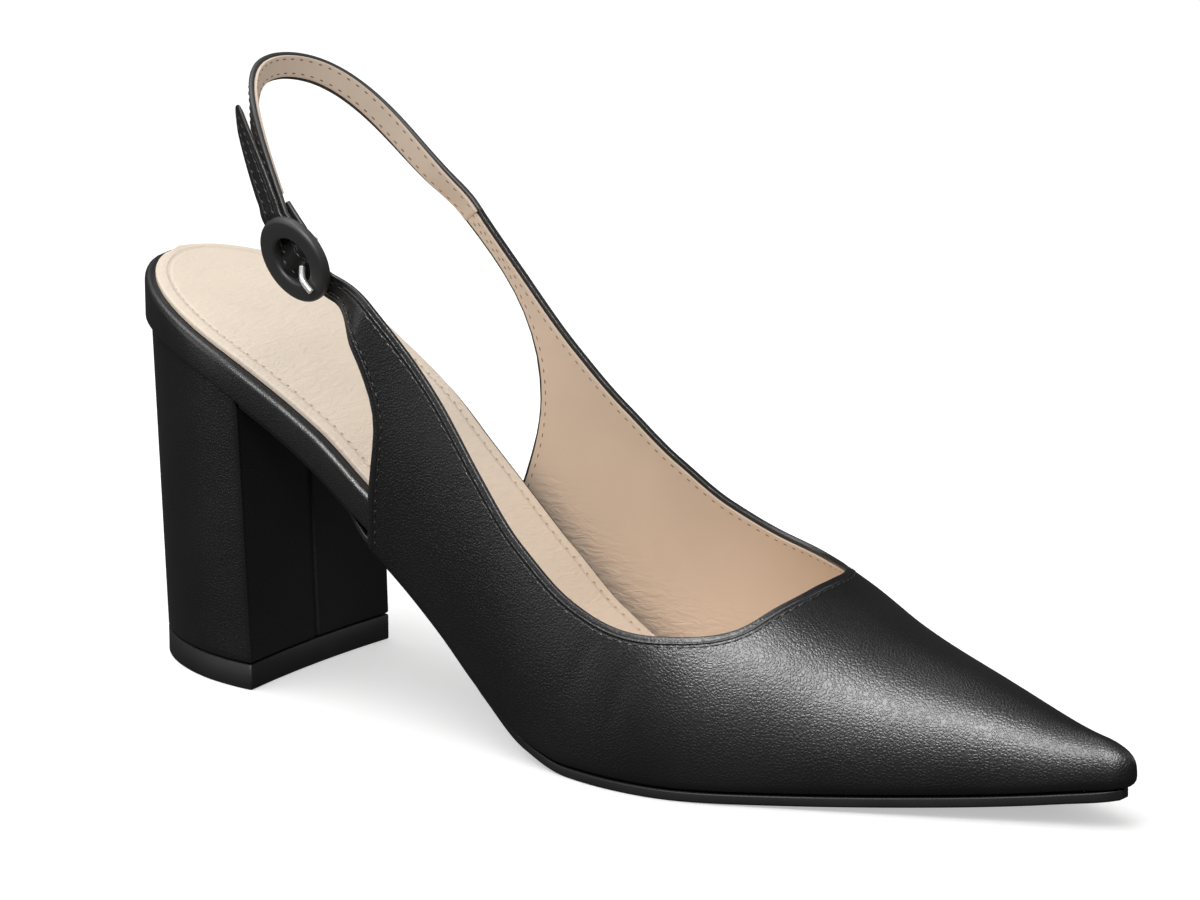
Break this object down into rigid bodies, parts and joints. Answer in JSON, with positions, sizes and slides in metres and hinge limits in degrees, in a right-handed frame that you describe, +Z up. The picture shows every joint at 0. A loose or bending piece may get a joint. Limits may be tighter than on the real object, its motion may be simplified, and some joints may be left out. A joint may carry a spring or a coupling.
{
  "type": "slingback pump",
  "caption": "Right slingback pump with a pointed toe, a covered block heel and a thin strap round the heel, closed by a small covered ring buckle on the outer side.",
  "frame": {"origin": "middle of the shoe's footprint box, on the floor", "axes": "+X from the heel to the toe, +Y towards the inner side of the foot, +Z up"},
  "size_m": [0.2432, 0.0694, 0.1319],
  "materials": {
    "black_leather": "smooth, softly polished",
    "footbed_leather": "smooth, matte",
    "heel_leather": "smooth, satin",
    "sock_leather": "soft, matte",
    "black_rubber": "matte",
    "bright_steel": "polished"
  },
  "bodies": {
    "root": {"upper": "black_leather", "sling_strap": "black_leather", "buckle_ring": "black_leather", "buckle_bar": "bright_steel", "buckle_prong": "bright_steel", "footbed": "footbed_leather", "sock": "sock_leather", "outsole": "black_rubber", "heel": "heel_leather", "top_piece": "black_rubber"}
  },
  "joints": []
}
